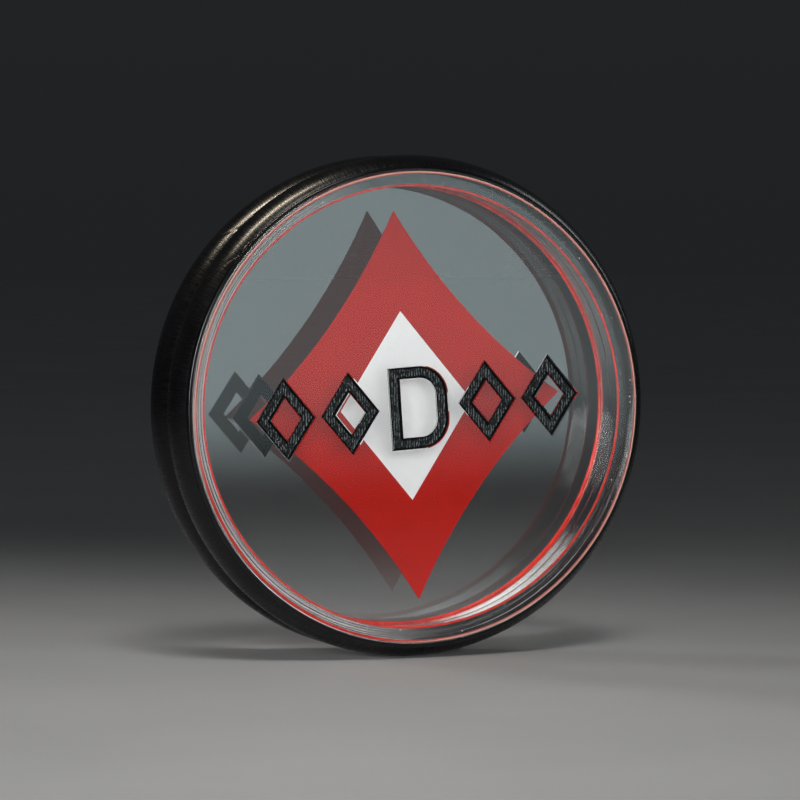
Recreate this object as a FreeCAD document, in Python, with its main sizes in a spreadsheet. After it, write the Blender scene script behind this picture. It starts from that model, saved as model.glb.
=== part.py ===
import FreeCAD, Part
import os
import Sketcher

# A dealer button: a thick clear disc with a pattern sealed inside and black rubber round its wall.
# It stands on its rubber, with its axis along Y and its front face towards -Y. The origin is on the
# surface that it stands on, under the middle of its thickness.
#
# Every piece is drawn in the button's own frame, whose Z is the axis of the disc, whose XY plane is
# the middle of its thickness, and whose Y is up on the graphics. A half is drawn on the +Z side. The
# rear pieces are the front ones turned over about Y, so the graphics read correctly from behind too.

DIMS = {
    # The whole button
    "overall_radius": 38.0,
    "half_thickness": 9.0,
    "graphics_roll": 4.0,
    # Clear discs: a flange at the face, and a narrower hub behind it for the rubber to sit round
    "face_radius": 35.7,
    "hub_radius": 33.6,
    "flange_back": 5.9,
    "edge_chamfer": 0.2,
    # Red lines: one in the face, near its edge, and one at the foot of the flange
    "edge_line_inner_radius": 35.15,
    "edge_line_width": 0.3,
    "edge_line_depth": 0.2,
    "seat_line_size": 0.35,
    # Film and prints on the middle plane
    "film_half_thickness": 0.1,
    "print_thickness": 0.1,
    "emblem_half_width": 25.0,
    "emblem_half_height": 29.6,
    "emblem_side_radius": 95.0,
    "centre_half_width": 10.6,
    "centre_half_height": 14.4,
    # Rubber rings, side by side with a fine gap between them, lapped over the flanges
    "ring_gap_half": 0.1,
    "lip_width": 0.5,
    "shoulder_radius": 36.3,
    "shoulder_width": 0.8,
    "crest_arc_radius": 4.25,
    # Engraved row: a block letter between four lozenges
    "engraving_depth": 0.8,
    "fill_recess": 0.1,
    "letter_half_width": 4.6,
    "letter_half_height": 6.2,
    "letter_bend_radius": 4.4,
    "stroke": 1.75,
    "inner_pip_place": 11.0,
    "outer_pip_place": 21.2,
    "pip_half_width": 4.6,
    "pip_half_height": 6.2,
    "pip_hole_half_width": 2.42,
    "pip_hole_half_height": 3.26,
}

FRONT, REAR = "front", "rear"

doc = FreeCAD.newDocument("DealerButton")
sheet = doc.addObject("Spreadsheet::Sheet", "Dims")
for row, (alias, number) in enumerate(DIMS.items(), start=1):
    sheet.set(f"A{row}", alias)
    sheet.set(f"B{row}", str(number))
    sheet.setAlias(f"B{row}", alias)
doc.recompute()


def value_of(total_text):
    """The value of a sum of sheet names and numbers, such as 'face_radius - edge_chamfer'."""
    total = 0.0
    sign = 1
    for word in total_text.split():
        if word in ("+", "-"):
            sign = 1 if word == "+" else -1
        else:
            total += sign * (DIMS[word] if word in DIMS else float(word))
            sign = 1
    return total


def bound(total_text):
    """The same sum as an expression that reads the sheet."""
    return " ".join(f"Dims.{word}" if word in DIMS else word for word in total_text.split())


def minus(name):
    """A sum that is the negative of one sheet name."""
    return f"0 - {name}"


# How a piece stands: its axis is tipped from Z to -Y, and it is turned a little about that axis.
STANDING = FreeCAD.Rotation(FreeCAD.Vector(1, 0, 0), 90)
ROLLED = FreeCAD.Rotation(FreeCAD.Vector(0, 0, 1), DIMS["graphics_roll"])
TURNED_OVER = FreeCAD.Rotation(FreeCAD.Vector(0, 1, 0), 180)


def new_body(label, side=FRONT):
    """An empty body that stands on the button's rim, on the front or rear half."""
    body = doc.addObject("PartDesign::Body", label)
    body.Label = label
    turn = STANDING.multiply(ROLLED)
    if side == REAR:
        turn = turn.multiply(TURNED_OVER)
    body.Placement = FreeCAD.Placement(FreeCAD.Vector(0, 0, DIMS["overall_radius"]), turn)
    body.setExpression("Placement.Base.z", "Dims.overall_radius")
    return body


def new_sketch(body, name, role, offset=None):
    """A sketch on one of the body's origin planes, raised from it by a sum of sheet names."""
    plane = next(item for item in body.Origin.OriginFeatures if item.Role == role)
    sketch = body.newObject("Sketcher::SketchObject", f"{body.Name}_{name}")
    sketch.AttachmentSupport = (plane, "")
    sketch.MapMode = "FlatFace"
    if offset:
        sketch.AttachmentOffset.Base = FreeCAD.Vector(0, 0, value_of(offset))
        sketch.setExpression("AttachmentOffset.Base.z", bound(offset))
    return sketch


def bind(sketch, index, total_text):
    """Ties one of a sketch's dimensions to the sheet."""
    sketch.setExpression(f"Constraints[{index}]", bound(total_text))


def draw_circle(sketch, radius):
    """A circle about the axis."""
    circle = Part.Circle(FreeCAD.Vector(), FreeCAD.Vector(0, 0, 1), value_of(radius))
    edge = sketch.addGeometry(circle, False)
    sketch.addConstraint(Sketcher.Constraint("Coincident", edge, 3, -1, 1))
    bind(sketch, sketch.addConstraint(Sketcher.Constraint("Radius", edge, value_of(radius))), radius)


def arc_between(start, end, radius, bulge):
    """The shorter arc from start to end, bulging to the left of the way for 1 or to the right for -1."""
    chord = end - start
    left = FreeCAD.Vector(-chord.y, chord.x, 0).normalize()
    sagitta = radius - (radius**2 - (chord.Length / 2) ** 2) ** 0.5
    return Part.Arc(start, (start + end) / 2 + left * sagitta * bulge, end)


def draw_outline(sketch, corners):
    """A closed outline. A corner is (x, y), or (x, y, radius, bulge) where an arc leaves it."""
    places = [FreeCAD.Vector(value_of(corner[0]), value_of(corner[1]), 0) for corner in corners]
    edges = []
    for index, corner in enumerate(corners):
        start = places[index]
        end = places[(index + 1) % len(places)]
        if len(corner) == 4:
            edge = arc_between(start, end, value_of(corner[2]), corner[3])
        else:
            edge = Part.LineSegment(start, end)
        edges.append(sketch.addGeometry(edge, False))

    def end_points(index):
        """The point numbers of an edge's start and end. An arc keeps its points counter-clockwise."""
        clockwise = len(corners[index]) == 4 and corners[index][3] == 1
        return (2, 1) if clockwise else (1, 2)

    for index, corner in enumerate(corners):
        first = end_points(index)[0]
        following = (index + 1) % len(edges)
        joined = end_points(index)[1], end_points(following)[0]
        sketch.addConstraint(
            Sketcher.Constraint("Coincident", edges[index], joined[0], edges[following], joined[1])
        )
        for kind, total_text in (("DistanceX", corner[0]), ("DistanceY", corner[1])):
            size = Sketcher.Constraint(kind, -1, 1, edges[index], first, value_of(total_text))
            bind(sketch, sketch.addConstraint(size), total_text)
        if len(corner) == 4:
            size = Sketcher.Constraint("Radius", edges[index], value_of(corner[2]))
            bind(sketch, sketch.addConstraint(size), corner[2])


def draw_lozenge(sketch, half_width, half_height, place="0", side_radius=None):
    """A lozenge centred on the X axis at place. With side_radius its sides bow inwards."""
    bow = (side_radius, 1) if side_radius else ()
    draw_outline(
        sketch,
        [
            (f"{place} + {half_width}", "0", *bow),
            (place, half_height, *bow),
            (f"{place} - {half_width}", "0", *bow),
            (place, minus(half_height), *bow),
        ],
    )


def draw_letter_shape(sketch, inset):
    """The outer edge of a block letter D, or with an inset its counter."""
    left = f"0 - letter_half_width + {inset}"
    right = f"letter_half_width - {inset}"
    top = f"letter_half_height - {inset}"
    bottom = f"0 - letter_half_height + {inset}"
    bend = f"letter_bend_radius - {inset}"
    bend_start = "letter_half_width - letter_bend_radius"
    bend_top = "letter_half_height - letter_bend_radius"
    bend_bottom = "letter_bend_radius - letter_half_height"
    draw_outline(
        sketch,
        [
            (left, bottom),
            (bend_start, bottom, bend, -1),
            (right, bend_bottom),
            (right, bend_top, bend, -1),
            (bend_start, top),
            (left, top),
        ],
    )


def draw_letter(sketch):
    """A block letter D of even stroke."""
    draw_letter_shape(sketch, "0")
    draw_letter_shape(sketch, "stroke")


def draw_pip(place):
    """A function that draws an open lozenge of even stroke at a place along the row."""

    def draw(sketch):
        draw_lozenge(sketch, "pip_half_width", "pip_half_height", place)
        draw_lozenge(sketch, "pip_hole_half_width", "pip_hole_half_height", place)

    return draw


ENGRAVED = {
    "lozenge_fill_1": draw_pip("0 - outer_pip_place"),
    "lozenge_fill_2": draw_pip("0 - inner_pip_place"),
    "letter_fill": draw_letter,
    "lozenge_fill_3": draw_pip("inner_pip_place"),
    "lozenge_fill_4": draw_pip("outer_pip_place"),
}


def pad(body, sketch, length):
    """A pad from the sketch towards +Z."""
    feature = body.newObject("PartDesign::Pad", f"{body.Name}_pad")
    feature.Profile = sketch
    feature.setExpression("Length", bound(length))
    sketch.Visibility = False
    doc.recompute()
    return feature


def pocket(body, name, sketch, depth):
    """A pocket from the sketch towards -Z, checked to take material away."""
    before = body.Shape.Volume
    feature = body.newObject("PartDesign::Pocket", f"{body.Name}_{name}")
    feature.Profile = sketch
    feature.setExpression("Length", bound(depth))
    sketch.Visibility = False
    doc.recompute()
    if not body.Shape.Volume < before:
        raise RuntimeError(f"{feature.Name} took nothing away")
    return feature


def revolve(body, sketch):
    """A full turn of the sketch about the disc's axis."""
    feature = body.newObject("PartDesign::Revolution", f"{body.Name}_turn")
    feature.Profile = sketch
    feature.ReferenceAxis = (sketch, ["V_Axis"])
    feature.Angle = 360.0
    sketch.Visibility = False
    doc.recompute()
    return feature


def add_flat_piece(label, side, drawings, bottom, thickness):
    """A flat piece of even thickness, whose outline is made by one or more drawing functions."""
    body = new_body(label, side)
    sketch = new_sketch(body, "outline", "XY_Plane", bottom)
    for draw in drawings:
        draw(sketch)
    pad(body, sketch, thickness)
    return body


def add_turned_piece(label, side, corners):
    """A round piece, turned from a cross-section with X as radius and Y as height."""
    body = new_body(label, side)
    sketch = new_sketch(body, "section", "XZ_Plane")
    draw_outline(sketch, corners)
    revolve(body, sketch)
    return body


def circle_drawing(radius):
    """A function that draws a circle of this radius."""
    return lambda sketch: draw_circle(sketch, radius)


def disc_section():
    """The corners of a clear disc's cross-section, from the middle of its back outwards."""
    edge_line_outer = "edge_line_inner_radius + edge_line_width"
    return [
        ("0", "film_half_thickness"),
        ("hub_radius", "film_half_thickness"),
        ("hub_radius", "flange_back - seat_line_size"),
        ("hub_radius - seat_line_size", "flange_back - seat_line_size"),
        ("hub_radius - seat_line_size", "flange_back"),
        ("face_radius", "flange_back"),
        ("face_radius", "half_thickness - edge_chamfer"),
        ("face_radius - edge_chamfer", "half_thickness"),
        (edge_line_outer, "half_thickness"),
        (edge_line_outer, "half_thickness - edge_line_depth"),
        ("edge_line_inner_radius", "half_thickness - edge_line_depth"),
        ("edge_line_inner_radius", "half_thickness"),
        ("0", "half_thickness"),
    ]


def add_disc(side):
    """A clear disc, with the row engraved in its face and room in its back for the print."""
    body = add_turned_piece(f"{side}_disc", side, disc_section())
    row = new_sketch(body, "row", "XY_Plane", "half_thickness")
    for draw in ENGRAVED.values():
        draw(row)
    pocket(body, "engraving", row, "engraving_depth")
    print_room = new_sketch(body, "print_room", "XY_Plane", "film_half_thickness + print_thickness")
    draw_emblem(print_room)
    pocket(body, "print_cut", print_room, "print_thickness")
    return body


def add_fills(side):
    """The black paint in the engraved row, a little below the face."""
    return [
        add_flat_piece(
            f"{side}_{name}",
            side,
            [draw],
            "half_thickness - engraving_depth",
            "engraving_depth - fill_recess",
        )
        for name, draw in ENGRAVED.items()
    ]


def add_red_lines(side):
    """The red line in the face, near its edge, and the one at the foot of the flange."""
    return [
        add_flat_piece(
            f"{side}_{name}",
            side,
            [circle_drawing(inner), circle_drawing(outer)],
            bottom,
            thickness,
        )
        for name, inner, outer, bottom, thickness in (
            (
                "edge_line",
                "edge_line_inner_radius",
                "edge_line_inner_radius + edge_line_width",
                "half_thickness - edge_line_depth",
                "edge_line_depth",
            ),
            (
                "seat_line",
                "hub_radius - seat_line_size",
                "hub_radius",
                "flange_back - seat_line_size",
                "seat_line_size",
            ),
        )
    ]


def draw_emblem(sketch):
    """The large lozenge with bowed sides."""
    draw_lozenge(sketch, "emblem_half_width", "emblem_half_height", "0", "emblem_side_radius")


def draw_centre(sketch):
    """The small straight-sided lozenge in the middle of the large one."""
    draw_lozenge(sketch, "centre_half_width", "centre_half_height")


def add_prints(side):
    """The red figure and the white one inside it, on one side of the film."""
    return [
        add_flat_piece(
            f"{side}_emblem_print", side, [draw_emblem, draw_centre], "film_half_thickness", "print_thickness"
        ),
        add_flat_piece(
            f"{side}_centre_print", side, [draw_centre], "film_half_thickness", "print_thickness"
        ),
    ]


def add_film():
    """The clear film on the middle plane, printed on both sides."""
    return add_flat_piece(
        "print_film",
        FRONT,
        [circle_drawing("hub_radius")],
        minus("film_half_thickness"),
        "film_half_thickness + film_half_thickness",
    )


def add_bumper_ring(side):
    """A black rubber ring: a foot on the hub, and a round ridge between two low shoulders."""
    bottom = "ring_gap_half"
    top = "half_thickness - lip_width"
    return add_turned_piece(
        f"{side}_bumper_ring",
        side,
        [
            ("hub_radius", bottom),
            ("shoulder_radius", bottom),
            ("shoulder_radius", f"{bottom} + shoulder_width", "crest_arc_radius", -1),
            ("shoulder_radius", f"{top} - shoulder_width"),
            ("shoulder_radius", top),
            ("face_radius", top),
            ("face_radius", "flange_back"),
            ("hub_radius", "flange_back"),
        ],
    )


pieces = [add_film()]
for side in (FRONT, REAR):
    pieces.append(add_disc(side))
    pieces += add_prints(side)
    pieces += add_red_lines(side)
    pieces += add_fills(side)
    pieces.append(add_bumper_ring(side))
doc.recompute()

for item in doc.Objects:
    if {"Invalid", "Error"} & set(item.State):
        raise RuntimeError(f"{item.Name} failed: {item.State}")
for piece in pieces:
    if piece.Shape.isNull() or not piece.Shape.isValid():
        raise RuntimeError(f"{piece.Label} has no valid shape")

os.makedirs("parts", exist_ok=True)
for piece in pieces:
    piece.Shape.exportStep(f"parts/{piece.Label}.step")
    box = piece.Shape.optimalBoundingBox()
    print(f"{piece.Label:24s} {piece.Shape.Volume:10.2f} mm3  "
          f"{box.XLength:6.2f} x {box.YLength:6.2f} x {box.ZLength:6.2f}  z from {box.ZMin:6.2f}")
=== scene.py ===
import math

import bmesh
import bpy
from mathutils import Matrix, Vector


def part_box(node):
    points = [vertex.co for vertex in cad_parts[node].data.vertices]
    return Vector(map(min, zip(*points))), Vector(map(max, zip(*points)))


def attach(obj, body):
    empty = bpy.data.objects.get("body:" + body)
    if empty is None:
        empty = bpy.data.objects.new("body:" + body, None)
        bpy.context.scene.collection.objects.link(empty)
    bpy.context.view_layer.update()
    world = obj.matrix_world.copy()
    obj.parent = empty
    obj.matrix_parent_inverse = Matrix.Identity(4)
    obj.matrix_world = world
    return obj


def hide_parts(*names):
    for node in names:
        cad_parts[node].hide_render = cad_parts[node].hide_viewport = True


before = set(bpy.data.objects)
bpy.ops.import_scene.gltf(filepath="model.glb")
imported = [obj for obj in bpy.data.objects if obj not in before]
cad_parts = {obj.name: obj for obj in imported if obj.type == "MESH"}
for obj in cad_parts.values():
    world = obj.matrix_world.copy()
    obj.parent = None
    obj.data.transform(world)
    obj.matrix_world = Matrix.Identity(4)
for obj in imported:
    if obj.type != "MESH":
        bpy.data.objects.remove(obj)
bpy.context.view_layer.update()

# A dealer button of clear acrylic that stands on its two black rubber rings. Its pieces are worked
# out in millimetres in the button's own frame: X to the right and Y up on the graphics, and Z along
# the disc's axis, out of the front face. SIDES takes each half of that frame to the scene, in metres.

MM = 0.001
ROLL = math.radians(4.0)
AROUND = 256


def box_mm(node):
    """A node's lowest and highest corner in millimetres."""
    low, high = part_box(node)
    return Vector(low) / MM, Vector(high) / MM


def outer_radius(node):
    """The outer radius of a round node about the button's axis."""
    low, high = box_mm(node)
    return (high.z - low.z) / 2


# Sizes that this file adds to the CAD's: ROUNDING keeps both faces a hair inside the CAD's faces,
# LINE_BEVEL breaks the edges of the red line's groove, FLOOR_PAINT is how thick the paint lies in the
# engraving, and AIR_GAP parts the rubber from the acrylic.
ROUNDING = 0.0005
LINE_BEVEL = 0.035
FLOOR_PAINT = 0.16
AIR_GAP = 0.03

# Sizes read from the boxes of the CAD nodes.
FACE_RADIUS = outer_radius("front_disc")
HUB_RADIUS = outer_radius("print_film")
EDGE_LINE_RADIUS = outer_radius("front_edge_line")
CREST_RADIUS = outer_radius("front_bumper_ring")
CENTRE = sum(box_mm("front_bumper_ring"), Vector()) / 2
CENTRE.y = 0.0
FACE = -box_mm("front_disc")[0].y - ROUNDING
RING_GAP = -box_mm("front_bumper_ring")[1].y
RING_EDGE = -box_mm("front_bumper_ring")[0].y
FLANGE_BACK = -box_mm("front_seat_line")[0].y
SEAT_LINE = FLANGE_BACK + box_mm("front_seat_line")[1].y
EDGE_LINE_DEPTH = FACE + box_mm("front_edge_line")[1].y
ENGRAVING_DEPTH = FACE + box_mm("front_letter_fill")[1].y

# Sizes of the CAD that no box shows.
EDGE_LINE_WIDTH = 0.3
EDGE_CHAMFER = 0.2
SHOULDER_RADIUS = FACE_RADIUS + 0.6
STROKE = 1.75
LETTER_HALF_WIDTH = 4.6
LETTER_HALF_HEIGHT = 6.2
LETTER_BEND = 4.4

STAND_UP = Matrix.Translation((0, 0, CENTRE.z * MM)) @ Matrix.Rotation(math.pi / 2, 4, "X")
FRONT = STAND_UP @ Matrix.Rotation(ROLL, 4, "Z") @ Matrix.Scale(MM, 4)
SIDES = {"front": FRONT, "rear": FRONT @ Matrix.Rotation(math.pi, 4, "Y")}


# ---------------------------------------------------------------- meshes


def add_piece(name, vertices, faces, material, replaced, side="front", crease=35):
    """Makes a mesh object from points in the button's frame and puts it on the CAD body."""
    mesh = bpy.data.meshes.new(name)
    mesh.from_pydata([SIDES[side] @ Vector(point) for point in vertices], [], faces)
    shape = bmesh.new()
    shape.from_mesh(mesh)
    bmesh.ops.recalc_face_normals(shape, faces=shape.faces)
    shape.to_mesh(mesh)
    shape.free()
    mesh.shade_smooth()
    mesh.set_sharp_from_angle(angle=math.radians(crease))
    mesh.materials.append(material)
    piece = bpy.data.objects.new(name, mesh)
    bpy.context.scene.collection.objects.link(piece)
    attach(piece, "root")
    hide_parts(*replaced)
    return piece


def turned(section, around=AROUND):
    """A closed section of (radius, height) points turned about the axis."""
    count = len(section)
    vertices = []
    for step in range(around):
        angle = math.tau * step / around
        vertices += [(r * math.cos(angle), r * math.sin(angle), z) for r, z in section]
    faces = []
    for step in range(around):
        here, there = step * count, (step + 1) % around * count
        for i in range(count):
            j = (i + 1) % count
            faces.append((here + i, here + j, there + j, there + i))
    return vertices, faces


def turned_solid(wall):
    """A wall of (radius, height) points turned about the axis, with a flat cap at each end."""
    vertices, faces = turned(wall)
    count = len(wall)
    faces = [face for face in faces if {face[0] % count, face[1] % count} != {0, count - 1}]
    faces.append([step * count for step in range(AROUND)])
    faces.append([step * count + count - 1 for step in range(AROUND)])
    return vertices, faces


def ring_section(inner, width, low, high):
    """The rectangular section of a flat ring."""
    return [(inner, low), (inner + width, low), (inner + width, high), (inner, high)]


def rounded(section, radius, steps=4):
    """The same closed section with each corner rounded by a short arc."""
    points = [Vector(point) for point in section]
    result = []
    for i, corner in enumerate(points):
        before = points[i - 1] - corner
        after = points[(i + 1) % len(points)] - corner
        reach = min(radius, before.length * 0.45, after.length * 0.45)
        start = corner + before.normalized() * reach
        end = corner + after.normalized() * reach
        for step in range(steps + 1):
            t = step / steps
            result.append(tuple(start * (1 - t) ** 2 + corner * 2 * t * (1 - t) + end * t**2))
    return result


def line_points(start, end, length, step):
    """Even points from start up to but not including end, as many as length holds at this step."""
    count = max(1, math.ceil(length / step))
    return [start.lerp(end, i / count) for i in range(count)]


def lozenge_outline(half_width, half_height, place):
    """A function of inset and step that gives the points round a lozenge."""
    half_span = half_width * half_height / math.hypot(half_width, half_height)

    def outline(inset, step):
        scale = 1 - inset / half_span
        corners = [(half_width, 0), (0, half_height), (-half_width, 0), (0, -half_height)]
        tips = [Vector(corner) for corner in corners]
        points = []
        for i, tip in enumerate(tips):
            following = tips[(i + 1) % 4]
            points += line_points(tip, following, (following - tip).length, step)
        return [point * scale + Vector((place, 0)) for point in points]

    return outline


def letter_outline(half_width, half_height, bend):
    """A function of inset and step that gives the points round a block letter D.

    Every inset has the same number of points, so that they can be joined one to one.
    """

    def outline(inset, step):
        def arc(centre_y, first_angle):
            count = math.ceil(bend * math.pi / 2 / step)
            centre = Vector((half_width - bend, centre_y))
            radius = bend - inset
            turns = [first_angle + math.pi / 2 * i / count for i in range(count)]
            return [centre + Vector((math.cos(turn), math.sin(turn))) * radius for turn in turns]

        left, right = inset - half_width, half_width - inset
        top = half_height - inset
        straight, bend_y = half_width - bend, half_height - bend
        arm, back = half_width + straight, 2 * half_height

        points = line_points(Vector((left, -top)), Vector((straight, -top)), arm, step)
        points += arc(-bend_y, -math.pi / 2)
        points += line_points(Vector((right, -bend_y)), Vector((right, bend_y)), 2 * bend_y, step)
        points += arc(bend_y, 0)
        points += line_points(Vector((straight, top)), Vector((left, top)), arm, step)
        points += line_points(Vector((left, top)), Vector((left, -top)), back, step)
        return points

    return outline


def swept(outline, section, step, lift=None):
    """A closed section of (inset, height) points carried round an outline. lift moves single points."""
    loops = [outline(inset, step) for inset, _ in section]
    count = len(loops[0])
    middle = outline(STROKE / 2, step)
    travelled = [0.0]
    for i in range(1, count):
        travelled.append(travelled[-1] + (middle[i] - middle[i - 1]).length)
    vertices = []
    for loop, (inset, height) in zip(loops, section):
        for i, point in enumerate(loop):
            rise = lift(travelled[i], inset) if lift else 0.0
            vertices.append((point.x, point.y, height + rise))
    faces = []
    for k in range(len(section)):
        here, there = k * count, (k + 1) % len(section) * count
        for i in range(count):
            j = (i + 1) % count
            faces.append((here + i, here + j, there + j, there + i))
    return vertices, faces


def glyph_row():
    """The name and outline of each engraved figure. The lozenges are sized from the CAD fills on the front.
    """
    row = []
    for n in (1, 2, 3, 4):
        low, high = box_mm(f"front_lozenge_fill_{n}")
        middle = (low + high) / 2 - CENTRE
        place = middle.x / math.cos(ROLL)
        half_width = (high.x - low.x) / 2 / math.cos(ROLL)
        half_height = (high.z - low.z) / 2 / math.cos(ROLL)
        row.append((f"lozenge_fill_{n}", lozenge_outline(half_width, half_height, place)))
    letter = letter_outline(LETTER_HALF_WIDTH, LETTER_HALF_HEIGHT, LETTER_BEND)
    row.append(("letter_fill", letter))
    return row


ROW = glyph_row()


# ---------------------------------------------------------------- materials


class Nodes:
    """Short calls for building one material's node tree."""

    def __init__(self, name):
        self.material = bpy.data.materials.new(name)
        self.material.use_nodes = True
        self.tree = self.material.node_tree
        self.shader = self.tree.nodes["Principled BSDF"]
        self.output = self.tree.nodes["Material Output"]

    def add(self, kind, **settings):
        """A node whose inputs are given by name, each as a value or as the socket that feeds it."""
        node = self.tree.nodes.new(f"ShaderNode{kind}")
        for key, value in settings.items():
            self.feed(node.inputs[key], value)
        return node

    def feed(self, socket, value):
        """Links a socket to an input, or sets the input to a plain value."""
        if isinstance(value, bpy.types.NodeSocket):
            self.tree.links.new(value, socket)
        else:
            socket.default_value = value

    def math(self, operation, first, second=0.0):
        """One step of arithmetic."""
        node = self.tree.nodes.new("ShaderNodeMath")
        node.operation = operation
        self.feed(node.inputs[0], first)
        self.feed(node.inputs[1], second)
        return node.outputs[0]

    def place(self):
        """The point on the object, in millimetres from the button's centre."""
        coordinates = self.add("TexCoord").outputs["Object"]
        node = self.tree.nodes.new("ShaderNodeVectorMath")
        node.operation = "MULTIPLY_ADD"
        self.feed(node.inputs[0], coordinates)
        node.inputs[1].default_value = (1 / MM,) * 3
        node.inputs[2].default_value = (0, 0, -CENTRE.z)
        return node.outputs[0]

    def noise(self, vector, scale, detail=3.0, roughness=0.55):
        """A noise field with about this many waves to each unit of the vector."""
        node = self.add("TexNoise", Vector=vector, Scale=scale, Detail=detail, Roughness=roughness)
        return node.outputs["Fac"]

    def ramp(self, value, low, high, start=0.0, end=1.0):
        """value taken from the range low to high onto the range start to end."""
        node = self.tree.nodes.new("ShaderNodeMapRange")
        for socket, number in zip(node.inputs, (value, low, high, start, end)):
            self.feed(socket, number)
        return node.outputs[0]

    def blend(self, amount, first, second):
        """A colour between two others."""
        node = self.tree.nodes.new("ShaderNodeMix")
        node.data_type = "RGBA"
        for socket, value in zip((node.inputs[0], node.inputs[6], node.inputs[7]), (amount, first, second)):
            self.feed(socket, value)
        return node.outputs[2]

    def bump(self, height, strength, distance, normal=None):
        """A bump whose distance is in millimetres."""
        node = self.add("Bump", Height=height, Strength=strength, Distance=distance * MM)
        if normal:
            self.feed(node.inputs["Normal"], normal)
        return node.outputs[0]

    def stretched(self, vector, scales):
        """A vector with each part scaled by its own amount."""
        node = self.tree.nodes.new("ShaderNodeVectorMath")
        node.operation = "MULTIPLY"
        self.feed(node.inputs[0], vector)
        node.inputs[1].default_value = scales
        return node.outputs[0]

    def set(self, **settings):
        """Sets the surface shader's inputs by name."""
        for key, value in settings.items():
            self.feed(self.shader.inputs[key.replace("_", " ")], value)
        return self.material


def around_and_along(nodes):
    """Distance round the button and distance along its axis, as a vector in millimetres."""
    parts = nodes.add("SeparateXYZ", Vector=nodes.place())
    angle = nodes.math("ARCTAN2", parts.outputs["X"], parts.outputs["Z"])
    arc = nodes.math("MULTIPLY", angle, CREST_RADIUS)
    return nodes.add("CombineXYZ", X=arc, Y=parts.outputs["Y"]).outputs[0]


def radius_and_height(nodes):
    """Distance from the axis and distance from the middle plane, in millimetres."""
    parts = nodes.add("SeparateXYZ", Vector=nodes.place()).outputs
    across = nodes.math("POWER", parts["X"], 2.0)
    upward = nodes.math("POWER", parts["Z"], 2.0)
    return nodes.math("SQRT", nodes.math("ADD", across, upward)), nodes.math("ABSOLUTE", parts["Y"])


def near_angle(nodes, radius, degrees, core, edge):
    """1 within core degrees of an angle round the front face, fading to 0 at edge degrees from it."""
    parts = nodes.add("SeparateXYZ", Vector=nodes.place()).outputs
    turn = math.radians(degrees)
    across = nodes.math("MULTIPLY", parts["X"], math.cos(turn))
    upward = nodes.math("MULTIPLY", parts["Z"], math.sin(turn))
    share = nodes.math("DIVIDE", nodes.math("ADD", across, upward), radius)
    return nodes.ramp(share, math.cos(math.radians(edge)), math.cos(math.radians(core)))


def turning_marks(nodes, place, radius):
    """Fine and broad marks that run round the button, as two noise fields."""
    parts = nodes.add("SeparateXYZ", Vector=place).outputs
    angle = nodes.math("ARCTAN2", parts["X"], parts["Z"])
    groove_place = nodes.add("CombineXYZ", X=radius, Y=parts["Y"], Z=nodes.math("MULTIPLY", angle, 0.6))
    fine = nodes.noise(nodes.stretched(groove_place.outputs[0], (14.0, 14.0, 1.5)), 1.0, 3.0, 0.7)
    waves = nodes.noise(nodes.stretched(groove_place.outputs[0], (1.6, 1.6, 3.0)), 1.0, 3.0, 0.6)
    return fine, waves


def painted_seat_highlights(nodes, radius, height, fine):
    """Painted highlights: pale streaks on the flanges' backs, at the two angles where light catches the
    turning marks.
    """
    margin = 0.03
    above = nodes.math("GREATER_THAN", height, FLANGE_BACK - margin)
    below = nodes.math("LESS_THAN", height, FLANGE_BACK + margin)
    flange_back = nodes.math("MULTIPLY", above, below)
    left = nodes.math("MULTIPLY", near_angle(nodes, radius, 190, 62, 88), nodes.ramp(fine, 0.40, 0.58))
    right = nodes.math("MULTIPLY", near_angle(nodes, radius, 312, 18, 40), nodes.ramp(fine, 0.56, 0.64))
    return nodes.math("MULTIPLY", nodes.math("ADD", left, right), flange_back)


def hairline_scratches(nodes, place):
    """Fine scratches in two directions."""
    along = nodes.noise(nodes.stretched(place, (0.35, 1.0, 5.0)), 1.6, 5.0, 0.7)
    across = nodes.noise(nodes.stretched(place, (4.0, 1.0, 0.5)), 1.3, 5.0, 0.7)
    return nodes.math("ADD", nodes.ramp(along, 0.66, 0.72), nodes.ramp(across, 0.68, 0.74))


def dust_specks(nodes, place):
    """Sparse specks of dust of different sizes."""
    specks = nodes.add("TexVoronoi", Vector=place, Scale=1.3).outputs
    chosen = nodes.add("SeparateColor", Color=specks["Color"]).outputs[0]
    near = nodes.math("LESS_THAN", specks["Distance"], nodes.math("MULTIPLY", chosen, 0.12))
    return nodes.math("MULTIPLY", near, nodes.math("GREATER_THAN", chosen, 0.72))


def let_light_through(nodes):
    """Lets lamps shine through a clear surface, a little dimmed."""
    clear = nodes.add("BsdfTransparent", Color=(0.93, 0.95, 0.95, 1)).outputs[0]
    path = nodes.add("LightPath").outputs["Is Shadow Ray"]
    mix = nodes.tree.nodes.new("ShaderNodeMixShader")
    for socket, source in zip(mix.inputs, (path, nodes.shader.outputs[0], clear)):
        nodes.feed(socket, source)
    nodes.feed(nodes.output.inputs["Surface"], mix.outputs[0])


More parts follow.
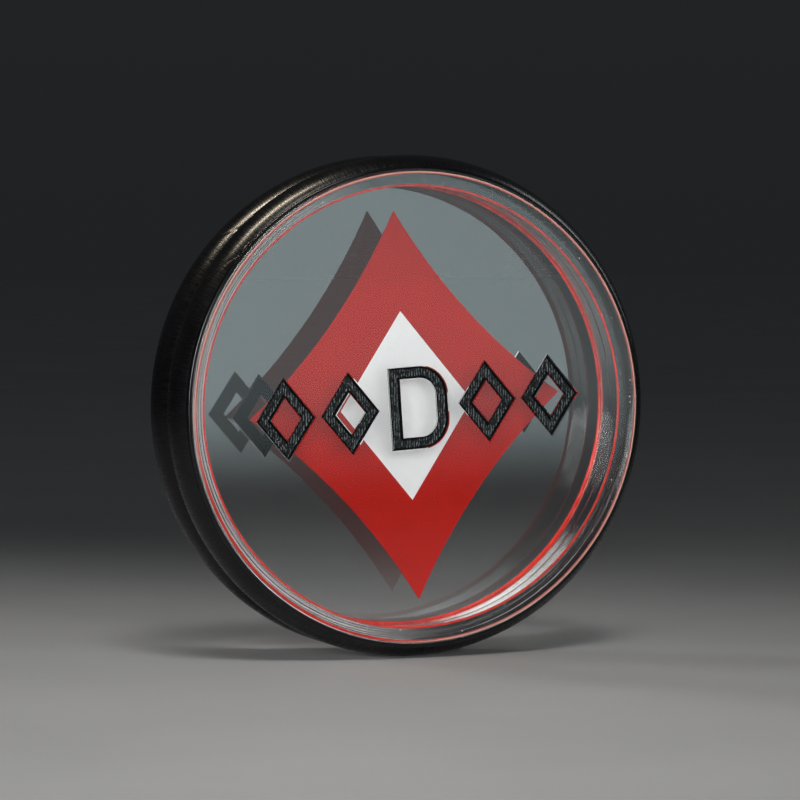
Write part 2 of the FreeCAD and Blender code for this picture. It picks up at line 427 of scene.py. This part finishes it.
def core_acrylic():
    """Clear acrylic: polished faces with hairline scratches, turning marks and dust at the seats, and
    painted highlights in pale pink streaks on the flanges' backs.

    The rear face has a coat of a higher index, because it mirrors more than plain acrylic does.
    """
    nodes = Nodes("core_acrylic")
    place = nodes.place()
    radius, height = radius_and_height(nodes)
    just_under_face, below_chamfer = FACE - 0.02, FACE - 0.25
    face_zone = nodes.math("GREATER_THAN", height, just_under_face)
    outside = nodes.math("GREATER_THAN", radius, HUB_RADIUS - 0.05)
    turned_zone = nodes.math("MULTIPLY", outside, nodes.math("LESS_THAN", height, below_chamfer))

    fine, waves = turning_marks(nodes, place, radius)
    cut = nodes.math("ADD", nodes.math("MULTIPLY", fine, 0.22), waves)
    painted_highlights = nodes.math("MULTIPLY", painted_seat_highlights(nodes, radius, height, fine), outside)
    dust = nodes.math("MULTIPLY", dust_specks(nodes, place), turned_zone)
    # The dust is real. The seat streaks are painted highlights. Both share one pale pink colour, which also
    # makes the acrylic less clear there.
    dust_and_painted_highlights = nodes.math("MAXIMUM", dust, nodes.math("MULTIPLY", painted_highlights, 0.45))

    scratches = nodes.math("MULTIPLY", hairline_scratches(nodes, place), face_zone)
    normal = nodes.bump(nodes.math("MULTIPLY", cut, turned_zone), 0.50, 0.05,
                        nodes.bump(scratches, 0.07, 0.02))
    smear = nodes.ramp(nodes.noise(place, 0.09, 4.0), 0.45, 0.75, 0.0, 0.03)
    roughness = nodes.math("ADD", nodes.math("MULTIPLY", smear, face_zone),
                           nodes.math("MULTIPLY", turned_zone, 0.02))
    depth = nodes.add("SeparateXYZ", Vector=place).outputs["Y"]
    rear_face = nodes.math("GREATER_THAN", depth, just_under_face)
    nodes.set(
        Base_Color=nodes.blend(dust_and_painted_highlights, (0.985, 0.995, 0.992, 1), (0.80, 0.63, 0.65, 1)),
        Roughness=nodes.math("ADD", roughness, nodes.math("MULTIPLY", dust_and_painted_highlights, 0.7)),
        IOR=1.49,
        Transmission_Weight=nodes.math("SUBTRACT", 1.0, dust_and_painted_highlights),
        Coat_Weight=rear_face,
        Coat_IOR=1.8,
        Coat_Roughness=0.0,
        Normal=normal,
    )
    let_light_through(nodes)
    return nodes.material


def black_rubber():
    """Satin black rubber with fine cross-strokes on its ridge, worn patches and a faint bloom."""
    nodes = Nodes("black_rubber")
    path = around_and_along(nodes)
    radius, _ = radius_and_height(nodes)
    outer = nodes.ramp(radius, FACE_RADIUS + 0.1, SHOULDER_RADIUS + 0.2)
    strokes = nodes.noise(nodes.stretched(path, (4.2, 0.45, 1.0)), 1.0, 2.0, 0.5)
    strokes = nodes.math("MULTIPLY", strokes, outer)
    grain = nodes.noise(nodes.place(), 9.0, 4.0, 0.6)
    bloom = nodes.noise(nodes.stretched(path, (0.10, 0.35, 1.0)), 1.0, 5.0, 0.6)
    scuffs = nodes.noise(nodes.stretched(path, (0.6, 3.0, 1.0)), 1.0, 5.0, 0.75)
    worn = nodes.math("MULTIPLY", nodes.ramp(scuffs, 0.60, 0.72), nodes.ramp(bloom, 0.45, 0.7))
    worn = nodes.math("MULTIPLY", worn, outer)
    colour = nodes.blend(nodes.ramp(bloom, 0.35, 0.75), (0.002, 0.002, 0.0025, 1), (0.006, 0.006, 0.007, 1))
    colour = nodes.blend(nodes.math("MULTIPLY", worn, 0.15), colour, (0.03, 0.029, 0.028, 1))
    smooth = nodes.bump(grain, 0.04, 0.02)
    return nodes.set(
        Base_Color=colour,
        Roughness=nodes.ramp(strokes, 0.38, 0.62, 0.21, 0.30),
        Specular_IOR_Level=0.4,
        Normal=nodes.bump(strokes, 0.40, 0.05, smooth),
    )


def printed_ink(name, colour, deep):
    """Screen-printed ink: even, with a faint mottle and pinholes of the deeper shade."""
    nodes = Nodes(name)
    place = nodes.place()
    mottle = nodes.noise(place, 0.12, 4.0)
    pinholes = nodes.ramp(nodes.noise(place, 3.2, 2.0, 0.8), 0.70, 0.78)
    shade = nodes.blend(nodes.ramp(mottle, 0.35, 0.7, 0.0, 0.35), colour, deep)
    shade = nodes.blend(nodes.math("MULTIPLY", pinholes, 0.3), shade, deep)
    normal = nodes.bump(nodes.noise(place, 6.0), 0.08, 0.02)
    return nodes.set(
        Base_Color=shade,
        Roughness=nodes.ramp(mottle, 0.3, 0.7, 0.38, 0.5),
        Specular_IOR_Level=0.03,
        Normal=normal,
    )


def red_line_paint(name, painted_glare):
    """Gloss red enamel in a fine groove. The second argument sets how far a painted highlight pales it, all
    round but for its lower left side.
    """
    nodes = Nodes(name)
    path = around_and_along(nodes)
    radius, _ = radius_and_height(nodes)
    runs = nodes.noise(nodes.stretched(path, (0.18, 1.0, 1.0)), 1.0, 4.0)
    colour = nodes.blend(nodes.ramp(runs, 0.35, 0.7), (0.55, 0.022, 0.010, 1), (0.36, 0.008, 0.005, 1))
    middle = EDGE_LINE_RADIUS - EDGE_LINE_WIDTH / 2
    outer_half = nodes.ramp(radius, middle - 0.05, middle + 0.03)
    # Painted highlight: the line is paled to pink and cream all round but at the lower left, its outer half
    # most, standing in for the lights' glare on the gloss.
    pale = nodes.blend(outer_half, (0.36, 0.10, 0.085, 1), (0.66, 0.36, 0.30, 1))
    deep_side = near_angle(nodes, radius, 230, 28, 48)
    share = nodes.math("MULTIPLY", nodes.math("SUBTRACT", 1.0, deep_side), painted_glare)
    colour = nodes.blend(share, colour, pale)
    normal = nodes.bump(nodes.noise(path, 1.4), 0.25, 0.05)
    return nodes.set(Base_Color=colour, Roughness=nodes.ramp(runs, 0.3, 0.7, 0.18, 0.34), Normal=normal)


def engraving_paint():
    """Gloss black enamel, with pale flecks painted as highlights in stripes across each floor, where light
    would catch the teeth that the cutter left.

    The paint's underside is wetted to the acrylic, so it is dull.
    """
    nodes = Nodes("engraving_paint")
    place = nodes.place()
    _, height = radius_and_height(nodes)
    open_side = nodes.math("GREATER_THAN", height, FACE - ENGRAVING_DEPTH + 0.03)
    floor = nodes.math("LESS_THAN", height, FACE - ENGRAVING_DEPTH + FLOOR_PAINT + 0.07)
    floor = nodes.math("MULTIPLY", open_side, floor)
    pits = nodes.noise(place, 2.6, 5.0, 0.7)
    fine = nodes.noise(place, 9.0, 3.0, 0.7)

    # Painted highlights: pale flecks in stripes across the floor stand in for light caught on the cutter's
    # teeth.
    across = nodes.add("SeparateXYZ", Vector=place).outputs["X"]
    drift = nodes.math("MULTIPLY", nodes.noise(place, 0.8, 2.0), 9.0)
    teeth = nodes.math("SINE", nodes.math("ADD", nodes.math("MULTIPLY", across, math.tau / 0.40), drift))
    broken = nodes.noise(nodes.stretched(place, (2.4, 1.0, 1.5)), 1.0, 2.0, 0.6)
    painted_flecks = nodes.math("MULTIPLY", nodes.ramp(teeth, 0.0, 0.8), nodes.ramp(broken, 0.44, 0.60))
    painted_flecks = nodes.math("MULTIPLY", painted_flecks, floor)

    colour = nodes.blend(nodes.ramp(pits, 0.4, 0.75), (0.002, 0.002, 0.003, 1), (0.008, 0.009, 0.010, 1))
    normal = nodes.bump(pits, 0.45, 0.08, nodes.bump(fine, 0.2, 0.02))
    return nodes.set(
        Base_Color=nodes.blend(painted_flecks, colour, (0.120, 0.140, 0.143, 1)),
        Roughness=nodes.ramp(pits, 0.35, 0.7, 0.12, 0.26),
        Specular_IOR_Level=nodes.math("SUBTRACT", nodes.math("MULTIPLY", open_side, 0.6),
                                      nodes.math("MULTIPLY", floor, 0.25)),
        Normal=normal,
    )


def pale_floor():
    """A plain pale matt surface."""
    nodes = Nodes("pale_floor")
    mottle = nodes.noise(nodes.place(), 0.02, 4.0)
    colour = nodes.blend(nodes.ramp(mottle, 0.3, 0.7), (0.42, 0.42, 0.415, 1), (0.46, 0.46, 0.455, 1))
    normal = nodes.bump(nodes.noise(nodes.place(), 0.9), 0.1, 0.1)
    return nodes.set(Base_Color=colour, Roughness=0.65, Specular_IOR_Level=0.1, Normal=normal)


CORE_ACRYLIC = core_acrylic()
RUBBER = black_rubber()
RED_INK = printed_ink("red_ink", (0.40, 0.011, 0.007, 1), (0.33, 0.008, 0.005, 1))
WHITE_INK = printed_ink("white_ink", (0.86, 0.86, 0.86, 1), (0.72, 0.72, 0.73, 1))
# The edge lines get the painted highlight at nearly full strength. The seat lines get none.
EDGE_PAINT = red_line_paint("edge_line_paint", 0.9)
SEAT_PAINT = red_line_paint("seat_line_paint", 0.0)
BLACK_PAINT = engraving_paint()


# ---------------------------------------------------------------- pieces


def engraving_cutters():
    """The solid that takes the engraved row out of both faces, with a small chamfer at the lip."""
    lip, over = 0.12, 0.05
    section = [
        (-lip - over, FACE + over),
        (0, FACE - lip),
        (0, FACE - ENGRAVING_DEPTH),
        (STROKE, FACE - ENGRAVING_DEPTH),
        (STROKE, FACE - lip),
        (STROKE + lip + over, FACE + over),
    ]
    parts = bmesh.new()
    for side in SIDES.values():
        for _, outline in ROW:
            vertices, faces = swept(outline, section, step=0.35)
            made = [parts.verts.new(side @ Vector(point)) for point in vertices]
            for face in faces:
                parts.faces.new([made[i] for i in face])
    bmesh.ops.recalc_face_normals(parts, faces=parts.faces)
    mesh = bpy.data.meshes.new("cutters")
    parts.to_mesh(mesh)
    parts.free()
    cutters = bpy.data.objects.new("cutters", mesh)
    bpy.context.scene.collection.objects.link(cutters)
    return cutters


def core_wall():
    """One half of the clear core's wall, from the edge of its face down to the middle plane."""
    line_inner = EDGE_LINE_RADIUS - EDGE_LINE_WIDTH
    notch = 0.1
    return [
        (line_inner - LINE_BEVEL, FACE),
        (line_inner, FACE - LINE_BEVEL),
        (line_inner, FACE - EDGE_LINE_DEPTH),
        (EDGE_LINE_RADIUS, FACE - EDGE_LINE_DEPTH),
        (EDGE_LINE_RADIUS, FACE - LINE_BEVEL),
        (EDGE_LINE_RADIUS + LINE_BEVEL, FACE),
        (FACE_RADIUS - EDGE_CHAMFER, FACE),
        (FACE_RADIUS, FACE - EDGE_CHAMFER),
        (FACE_RADIUS, FLANGE_BACK),
        (HUB_RADIUS - SEAT_LINE, FLANGE_BACK),
        (HUB_RADIUS - SEAT_LINE, FLANGE_BACK - SEAT_LINE),
        (HUB_RADIUS, FLANGE_BACK - SEAT_LINE),
        (HUB_RADIUS, notch),
        (HUB_RADIUS - notch, notch),
    ]


def make_core():
    """The two discs and the film as the one clear block that they are when bonded."""
    upper = core_wall()
    wall = upper + [(r, -z) for r, z in reversed(upper)]
    vertices, faces = turned_solid(wall)
    core = add_piece(
        "clear_core", vertices, faces, CORE_ACRYLIC,
        ("front_disc", "rear_disc", "print_film"),
    )
    cutters = engraving_cutters()
    cut = core.modifiers.new("engraving", "BOOLEAN")
    cut.operation = "DIFFERENCE"
    cut.solver = "EXACT"
    cut.object = cutters
    bpy.context.view_layer.update()
    graph = bpy.context.evaluated_depsgraph_get()
    engraved = bpy.data.meshes.new_from_object(core.evaluated_get(graph), depsgraph=graph)
    core.modifiers.clear()
    core.data = engraved
    engraved.set_sharp_from_angle(angle=math.radians(25))
    bpy.data.objects.remove(cutters)
    return core


def make_red_lines():
    """The glossy bead of red paint in each face's groove, and the red line at the foot of each flange."""
    bond, crown, inside, steps = 0.008, 0.008, 0.01, 10
    inner = EDGE_LINE_RADIUS - EDGE_LINE_WIDTH
    bottom, shore = FACE - EDGE_LINE_DEPTH - bond, FACE - LINE_BEVEL - bond
    middle, half = EDGE_LINE_RADIUS - EDGE_LINE_WIDTH / 2, EDGE_LINE_WIDTH / 2 + LINE_BEVEL
    bead = [(inner - bond, bottom), (inner - bond, shore)]
    for i in range(steps + 1):
        angle = math.pi * i / steps
        bead.append((middle - half * math.cos(angle), FACE - inside + crown * math.sin(angle)))
    bead += [(EDGE_LINE_RADIUS + bond, shore), (EDGE_LINE_RADIUS + bond, bottom)]
    seat = ring_section(
        HUB_RADIUS - SEAT_LINE - bond, SEAT_LINE + bond - inside, FLANGE_BACK - SEAT_LINE - bond,
        FLANGE_BACK + bond,
    )
    lines = (("edge", bead, EDGE_PAINT), ("seat", rounded(seat, 0.05, 3), SEAT_PAINT))
    for side in SIDES:
        for name, section, paint in lines:
            vertices, faces = turned(section)
            add_piece(
                f"{side}_{name}_bead", vertices, faces, paint,
                (f"{side}_{name}_line",), side, crease=60,
            )


def cutter_marks(phase, floor_inset):
    """A function of distance along a stroke and inset that gives the height of the marks there."""
    pitch, height = 0.46, 0.05

    def lift(distance, inset):
        across = (inset - floor_inset) / (STROKE - 2 * floor_inset)
        if not 0.0 < across < 1.0:
            return 0.0
        wobble = math.sin(distance * 1.9 + phase) * 0.9 + math.sin(distance * 0.7 + 2 * phase) * 1.3
        ridge = math.sin(math.tau * distance / pitch + wobble + 2 * across)
        rows = 0.55 + 0.45 * math.cos(math.tau * 2 * across)
        return height * (ridge * rows + 0.3 * math.sin(4.1 * distance + phase)) * math.sin(math.pi * across)

    return lift


def fill_section(floor_inset):
    """The section of the paint in a stroke: it coats the walls and the floor of the cut."""
    wet, across = 0.012, 10
    rim, thickness = FACE - 0.13, 0.09
    bottom = FACE - ENGRAVING_DEPTH - wet
    floor = FACE - ENGRAVING_DEPTH + FLOOR_PAINT
    inner_rim, foot, foot_top = rim - 0.03, floor_inset * 0.7, floor + 0.1
    section = [(STROKE + wet, rim), (STROKE + wet, bottom), (-wet, bottom), (-wet, rim)]
    section += [(thickness, inner_rim), (foot, foot_top)]
    section += [
        (floor_inset + (STROKE - 2 * floor_inset) * i / across, floor) for i in range(across + 1)
    ]
    section += [(STROKE - foot, foot_top), (STROKE - thickness, inner_rim)]
    return section


def make_fills():
    """The black paint in the engraved row, over the marks that the cutter left on the floor."""
    floor_inset = 0.36
    section = fill_section(floor_inset)
    for side in SIDES:
        for number, (name, outline) in enumerate(ROW):
            phase = number * 1.7 + (3.1 if side == "rear" else 0.0)
            vertices, faces = swept(outline, section, step=0.11, lift=cutter_marks(phase, floor_inset))
            add_piece(
                f"{side}_{name.replace('fill', 'paint')}", vertices, faces, BLACK_PAINT,
                (f"{side}_{name}",), side, crease=50,
            )


def rubber_section():
    """A rubber ring's section: a foot on the hub, and two low shoulders with a round ridge between."""
    shoulder, corner, steps = 0.8, 0.22, 36
    low, high = RING_GAP + shoulder, RING_EDGE - shoulder
    middle, half = (low + high) / 2, (high - low) / 2
    rise = CREST_RADIUS - SHOULDER_RADIUS
    bow = (half**2 + rise**2) / (2 * rise)
    spread = math.asin(half / bow)
    ridge = []
    for i in range(steps + 1):
        angle = spread * (2 * i / steps - 1)
        ridge.append((CREST_RADIUS - bow + bow * math.cos(angle), middle + bow * math.sin(angle)))
    return [
        (HUB_RADIUS + AIR_GAP, RING_GAP),
        (SHOULDER_RADIUS - corner, RING_GAP),
        (SHOULDER_RADIUS - corner * 0.3, RING_GAP + corner * 0.3),
        (SHOULDER_RADIUS, RING_GAP + corner),
        *ridge,
        (SHOULDER_RADIUS, RING_EDGE - corner),
        (SHOULDER_RADIUS - corner * 0.3, RING_EDGE - corner * 0.3),
        (SHOULDER_RADIUS - corner, RING_EDGE),
        (FACE_RADIUS + AIR_GAP, RING_EDGE),
        (FACE_RADIUS + AIR_GAP, FLANGE_BACK - AIR_GAP),
        (HUB_RADIUS + AIR_GAP, FLANGE_BACK - AIR_GAP),
    ]


def seam_and_ripples(angle, radius, height, seam_angle, slant):
    """How far a rubber ring's outside is drawn in at its slanted seam and at its faint ripples."""
    seam_depth, seam_half_width = 0.09, 0.11
    ripple_depth, ripples_round, ripples_across = 0.012, 9, 1.3
    middle = (RING_GAP + RING_EDGE) / 2
    off = ((angle - seam_angle) * radius - slant * (height - middle)) / math.hypot(1, slant)
    dip = seam_depth * math.exp(-((off / seam_half_width) ** 2))
    return dip + ripple_depth * abs(math.sin(ripples_round * angle) * math.sin(ripples_across * height))


def make_rubber_rings():
    """The two rubber rings. Each has the fine slanted seam where its strip was joined."""
    seams = {"front": (math.radians(152), -2.9), "rear": (math.radians(137), 1.7)}
    outside = SHOULDER_RADIUS - 0.3
    section = rubber_section()
    for side in SIDES:
        vertices, faces = turned(section, around=1080)
        shaped = []
        for x, y, z in vertices:
            radius = math.hypot(x, y)
            from_front = x if side == "front" else -x
            angle = math.atan2(y, from_front)
            scale = 1.0
            if radius > outside:
                scale -= seam_and_ripples(angle, radius, z, *seams[side]) / radius
            shaped.append((x * scale, y * scale, z))
        add_piece(
            f"{side}_rubber_ring", shaped, faces, RUBBER, (f"{side}_bumper_ring",), side,
            crease=50,
        )


def dress_prints():
    """Puts ink on the CAD prints that stay."""
    for side in SIDES:
        for node, ink in ((f"{side}_emblem_print", RED_INK), (f"{side}_centre_print", WHITE_INK)):
            mesh = bpy.data.objects[node].data
            mesh.materials.clear()
            mesh.materials.append(ink)


make_core()
make_red_lines()
make_fills()
make_rubber_rings()
dress_prints()


# ---------------------------------------------------------------- floor, lights and camera


def make_floor():
    """A wide floor under the button."""
    reach = 3.0
    mesh = bpy.data.meshes.new("floor")
    mesh.from_pydata([(-reach, -reach, 0), (reach, -reach, 0), (reach, reach, 0), (-reach, reach, 0)], [],
                     [(0, 1, 2, 3)])
    mesh.materials.append(pale_floor())
    floor = bpy.data.objects.new("floor", mesh)
    bpy.context.scene.collection.objects.link(floor)


def aim(thing, target):
    """Points a light's or a camera's -Z axis at a target."""
    way = Vector(target) - thing.location
    thing.rotation_euler = way.to_track_quat("-Z", "Y").to_euler()


def soft_light(name, place, target, width, height, brightness, colour=(1, 1, 1), spread=179):
    """A rectangular soft light. brightness is its radiance straight ahead, and spread its full beam."""
    data = bpy.data.lights.new(name, "AREA")
    data.shape = "RECTANGLE"
    data.size, data.size_y = width, height
    half_beam = math.radians(spread) / 2
    data.energy = brightness * math.pi * width * height * (1 - half_beam / math.tan(half_beam))
    data.color = colour
    data.spread = 2 * half_beam
    lamp = bpy.data.objects.new(name, data)
    lamp.location = place
    lamp.visible_camera = False
    bpy.context.scene.collection.objects.link(lamp)
    aim(lamp, target)
    return lamp


def fade_edges(lamp, bottom, side):
    """Makes a panel's light die away over these shares of it at its bottom and at both sides."""
    lamp.data.use_nodes = True
    tree = lamp.data.node_tree
    parts = tree.nodes.new("ShaderNodeSeparateXYZ")
    tree.links.new(tree.nodes.new("ShaderNodeNewGeometry").outputs["Parametric"], parts.inputs[0])
    strength = tree.nodes["Emission"].inputs["Strength"]
    for axis, dark, full in (("Y", 0, bottom), ("X", 0, side), ("X", 1, 1 - side)):
        fade = tree.nodes.new("ShaderNodeMapRange")
        fade.interpolation_type = "SMOOTHSTEP"
        fade.inputs["From Min"].default_value = dark
        fade.inputs["From Max"].default_value = full
        tree.links.new(parts.outputs[axis], fade.inputs["Value"])
        tree.links.new(fade.outputs[0], strength)
        strength = fade.inputs["To Max"]


def make_lights():
    """A soft key above, two low fills, and lamps that only show in reflections and through the acrylic."""
    middle = CENTRE * MM
    soft_light("key", (-0.12, -0.36, 0.58), (-0.08, -0.10, 0), 0.30, 0.20, 26.0, (1.0, 0.99, 0.97), 36)
    fill = soft_light("low_fill", (-0.10, -0.66, 0.11), middle, 0.40, 0.17, 18.5, (1, 1, 1), 60)
    rear_fill = soft_light("rear_fill", (-0.46, 0.50, 0.12), middle, 0.12, 0.12, 85.0, (1, 1, 1), 26)
    for unseen in (fill, rear_fill):
        unseen.visible_glossy = False
        unseen.visible_transmission = False
    panel = soft_light("mirror_panel", (0.100, -0.262, 0.054), (0.100, 0, 0.054), 0.16, 0.102, 1.6,
                       (0.83, 1.0, 1.03), 130)
    fade_edges(panel, bottom=0.25, side=0.16)
    edge = soft_light("edge_strip", (-0.24, 0.012, 0.587), middle, 0.02, 0.30, 150.0, (1.0, 0.86, 0.66), 60)
    glint = soft_light("glint_strip", (-0.33, -0.56, 0.14), middle, 0.09, 0.22, 50.0, (0.95, 1.0, 1.0), 60)
    side = soft_light("side_strip", (0.62, 0.07, 0.36), middle, 0.07, 0.46, 7.0, (0.97, 1.0, 1.0), 120)
    side.visible_transmission = False
    back = soft_light("back_panel", (0.07, 0.56, 0.205), middle, 0.22, 0.08, 1.4, (1, 0.98, 0.95), 60)
    back.visible_glossy = False
    for lamp in (panel, edge, glint, side, back):
        lamp.visible_diffuse = False


def make_world():
    """Dim even air, the same as the far floor at the horizon and a little lighter overhead."""
    world = bpy.data.worlds.new("studio")
    world.use_nodes = True
    tree = world.node_tree
    parts = tree.nodes.new("ShaderNodeSeparateXYZ")
    tree.links.new(tree.nodes.new("ShaderNodeTexCoord").outputs["Generated"], parts.inputs[0])
    shade = tree.nodes.new("ShaderNodeValToRGB")
    shade.color_ramp.elements[0].color = (0.0146, 0.0154, 0.0162, 1)
    shade.color_ramp.elements[1].color = (0.041, 0.044, 0.047, 1)
    tree.links.new(parts.outputs["Z"], shade.inputs[0])
    tree.links.new(shade.outputs[0], tree.nodes["Background"].inputs["Color"])
    bpy.context.scene.world = world


def make_camera():
    """A long lens, low and to the left of the front face."""
    azimuth, elevation, distance = math.radians(-20.4), math.radians(2.8), 0.60
    back = Vector((
        math.sin(azimuth) * math.cos(elevation),
        -math.cos(azimuth) * math.cos(elevation),
        math.sin(elevation),
    ))
    target = CENTRE * MM + Vector((0.0002, 0, 0.0007))
    data = bpy.data.cameras.new("camera")
    data.lens = 177
    data.sensor_width = 36
    camera = bpy.data.objects.new("camera", data)
    camera.location = target + back * distance
    bpy.context.scene.collection.objects.link(camera)
    aim(camera, target)
    bpy.context.scene.camera = camera


make_floor()
make_lights()
make_world()
make_camera()
bpy.context.scene.view_settings.view_transform = "Standard"
